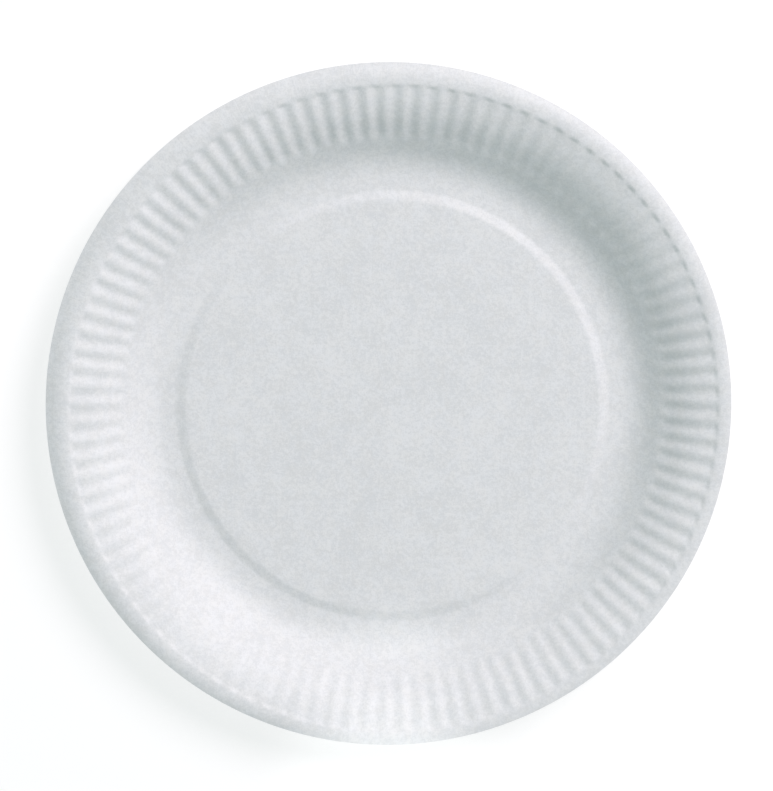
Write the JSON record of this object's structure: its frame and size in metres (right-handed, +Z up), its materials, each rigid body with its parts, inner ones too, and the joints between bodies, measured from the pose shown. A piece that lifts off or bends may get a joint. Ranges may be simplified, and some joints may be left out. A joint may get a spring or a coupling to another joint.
{
  "type": "paper plate",
  "caption": "Round white paperboard plate with a raised flat centre, a sloping side, fine radial flutes and a smooth rolled outer band.",
  "frame": {"origin": "centre of the round cut outline, at the height of the surface that the plate stands on", "axes": "+Z up, out of the open side of the plate; +X and +Y lie in the surface it stands on, with the wider side of the smooth band towards -X and +Y"},
  "size_m": [0.23, 0.23, 0.0173],
  "materials": {
    "board": "matte"
  },
  "bodies": {
    "root": {"plate": "board"}
  },
  "joints": []
}
